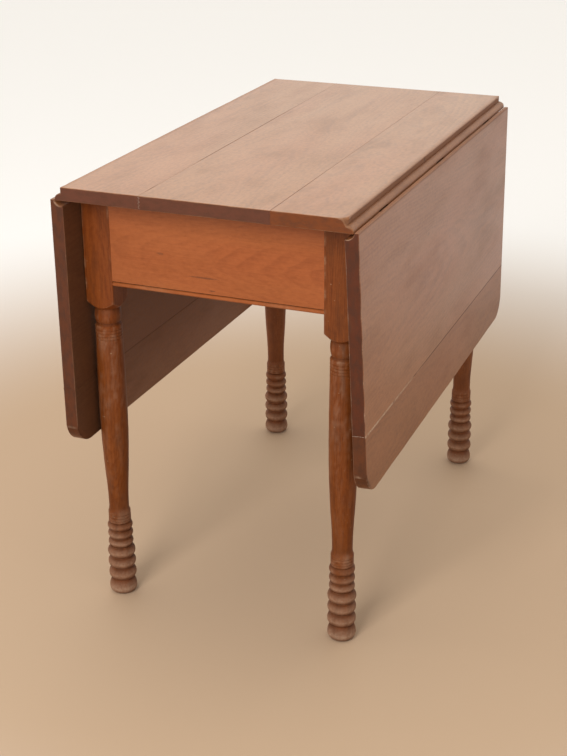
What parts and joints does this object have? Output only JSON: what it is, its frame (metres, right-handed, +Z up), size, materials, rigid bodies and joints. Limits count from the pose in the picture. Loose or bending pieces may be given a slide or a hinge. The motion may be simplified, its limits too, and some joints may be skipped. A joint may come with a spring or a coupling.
{
  "type": "pembroke table",
  "caption": "Old drop-leaf pembroke table: boarded top, side leaves hinged on rule joints, swinging wooden leaf brackets, and turned legs with ringed feet.",
  "frame": {"origin": "on the floor, under the middle of the top", "axes": "+Z up, +X across the table to the right leaf as seen from the pictured end, +Y along the table away from that end"},
  "size_m": [0.4987, 0.834, 0.725],
  "materials": {
    "top_wood": "worn satin varnish",
    "leaf_wood": "worn satin varnish",
    "frame_wood": "satin varnish",
    "inner_wood": "bare, aged",
    "hinge_iron": "dull, lightly rusted",
    "screw_steel": "dull"
  },
  "bodies": {
    "frame": {"back_end_rail": "frame_wood", "back_left_leg": "frame_wood", "back_right_leg": "frame_wood", "fly_block_screws": "screw_steel", "front_end_rail": "frame_wood", "front_left_leg": "frame_wood", "front_right_leg": "frame_wood", "glue_blocks": "inner_wood", "left_back_fly_pin": "hinge_iron", "left_back_hinge_pin": "hinge_iron", "left_back_hinge_top_plate": "hinge_iron", "left_fly_block": "inner_wood", "left_front_fly_pin": "hinge_iron", "left_front_hinge_pin": "hinge_iron", "left_front_hinge_top_plate": "hinge_iron", "left_hinge_top_screws": "screw_steel", "left_middle_hinge_pin": "hinge_iron", "left_middle_hinge_top_plate": "hinge_iron", "left_side_rail": "inner_wood", "right_back_fly_pin": "hinge_iron", "right_back_hinge_pin": "hinge_iron", "right_back_hinge_top_plate": "hinge_iron", "right_fly_block": "inner_wood", "right_front_fly_pin": "hinge_iron", "right_front_hinge_pin": "hinge_iron", "right_front_hinge_top_plate": "hinge_iron", "right_hinge_top_screws": "screw_steel", "right_middle_hinge_pin": "hinge_iron", "right_middle_hinge_top_plate": "hinge_iron", "right_side_rail": "inner_wood", "top_left_board": "top_wood", "top_middle_board": "top_wood", "top_right_board": "top_wood"},
    "left_back_fly_bracket": {"left_back_fly_bracket": "inner_wood"},
    "left_front_fly_bracket": {"left_front_fly_bracket": "inner_wood"},
    "left_leaf": {"left_back_hinge_leaf_plate": "hinge_iron", "left_front_hinge_leaf_plate": "hinge_iron", "left_hinge_leaf_screws": "screw_steel", "left_leaf_inner_board": "leaf_wood", "left_leaf_outer_board": "leaf_wood", "left_middle_hinge_leaf_plate": "hinge_iron"},
    "right_back_fly_bracket": {"right_back_fly_bracket": "inner_wood"},
    "right_front_fly_bracket": {"right_front_fly_bracket": "inner_wood"},
    "right_leaf": {"right_back_hinge_leaf_plate": "hinge_iron", "right_front_hinge_leaf_plate": "hinge_iron", "right_hinge_leaf_screws": "screw_steel", "right_leaf_inner_board": "leaf_wood", "right_leaf_outer_board": "leaf_wood", "right_middle_hinge_leaf_plate": "hinge_iron"}
  },
  "joints": [
    {"name": "right_leaf_hinge", "type": "hinge", "parent": "frame", "child": "right_leaf", "pos_m": [0.226, 0, 0.707], "axis": [0, -1, 0], "range_deg": [0, 88.5]},
    {"name": "left_leaf_hinge", "type": "hinge", "parent": "frame", "child": "left_leaf", "pos_m": [-0.226, 0, 0.707], "axis": [0, 1, 0], "range_deg": [0, 90]},
    {"name": "right_front_fly_swing", "type": "hinge", "parent": "frame", "child": "right_front_fly_bracket", "pos_m": [0.2032, -0.102, 0.654], "axis": [0, 0, 1], "range_deg": [0, 2.5]},
    {"name": "right_back_fly_swing", "type": "hinge", "parent": "frame", "child": "right_back_fly_bracket", "pos_m": [0.2032, 0.102, 0.654], "axis": [0, 0, -1], "range_deg": [0, 2.5]},
    {"name": "left_front_fly_swing", "type": "hinge", "parent": "frame", "child": "left_front_fly_bracket", "pos_m": [-0.2032, -0.102, 0.654], "axis": [0, 0, -1], "range_deg": [0, 2.5]},
    {"name": "left_back_fly_swing", "type": "hinge", "parent": "frame", "child": "left_back_fly_bracket", "pos_m": [-0.2032, 0.102, 0.654], "axis": [0, 0, 1], "range_deg": [0, 2.5]}
  ]
}
